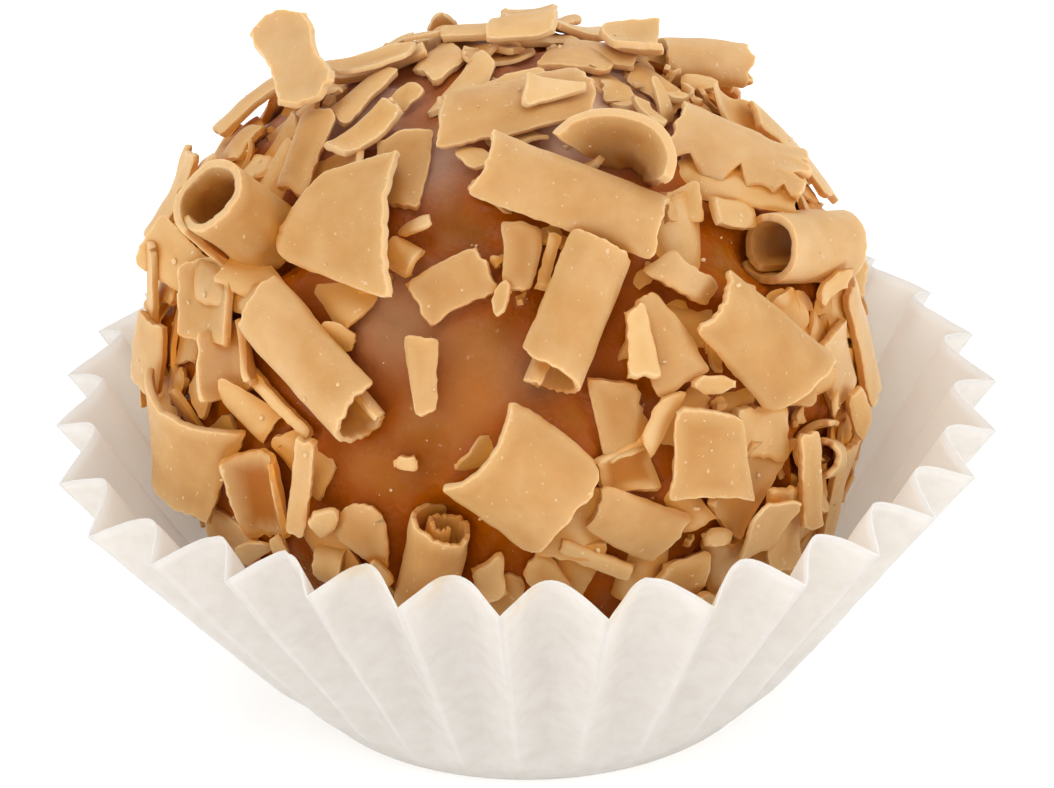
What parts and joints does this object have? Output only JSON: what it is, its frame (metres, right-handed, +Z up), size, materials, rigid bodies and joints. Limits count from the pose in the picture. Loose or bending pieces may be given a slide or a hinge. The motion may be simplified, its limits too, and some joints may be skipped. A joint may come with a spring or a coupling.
{
  "type": "brigadeiro",
  "caption": "Brigadeiro: a soft fudge ball rolled in milk-chocolate curls and shavings, sitting in a fluted white paper case with an open zigzag rim",
  "frame": {"origin": "under the middle of the paper case, on the surface it stands on", "axes": "+Z up; -Y faces the front, the side shown in the views; +X to the right seen from the front"},
  "size_m": [0.0472, 0.047, 0.0364],
  "materials": {
    "paper": "matt, uncoated",
    "fudge": "glossy, moist",
    "curl": "satin"
  },
  "bodies": {
    "root": {"curl_arch": "curl", "curl_back_01": "curl", "curl_back_02": "curl", "curl_back_03": "curl", "curl_back_04": "curl", "curl_back_05": "curl", "curl_back_06": "curl", "curl_back_07": "curl", "curl_back_08": "curl", "curl_back_09": "curl", "curl_back_10": "curl", "curl_back_11": "curl", "curl_back_12": "curl", "curl_bent_chip": "curl", "curl_big_roll": "curl", "curl_crown_back": "curl", "curl_crown_cup": "curl", "curl_crown_flat": "curl", "curl_crown_slab": "curl", "curl_crown_strip": "curl", "curl_diamond": "curl", "curl_edge_slab": "curl", "curl_fan": "curl", "curl_flared_slab": "curl", "curl_flat_chip": "curl", "curl_half_pipe": "curl", "curl_left_bend": "curl", "curl_left_cup": "curl", "curl_left_edge": "curl", "curl_left_slab": "curl", "curl_left_tube": "curl", "curl_lit_band": "curl", "curl_low_chip": "curl", "curl_low_cup": "curl", "curl_low_edge": "curl", "curl_low_half": "curl", "curl_low_left": "curl", "curl_low_roll": "curl", "curl_low_slab": "curl", "curl_lozenge": "curl", "curl_middle_roll": "curl", "curl_petal": "curl", "curl_ridge_slab": "curl", "curl_right_cup": "curl", "curl_right_roll": "curl", "curl_right_slab": "curl", "curl_right_strip": "curl", "curl_shoulder_slab": "curl", "curl_shoulder_tube": "curl", "curl_side_slab": "curl", "curl_small_slab": "curl", "curl_spiral": "curl", "curl_torn_roll": "curl", "curl_torn_slab": "curl", "curl_upper_slab": "curl", "curl_upright_strip": "curl", "curl_wavy": "curl", "curl_wedge": "curl", "fudge_ball": "fudge", "paper_case": "paper"}
  },
  "joints": []
}
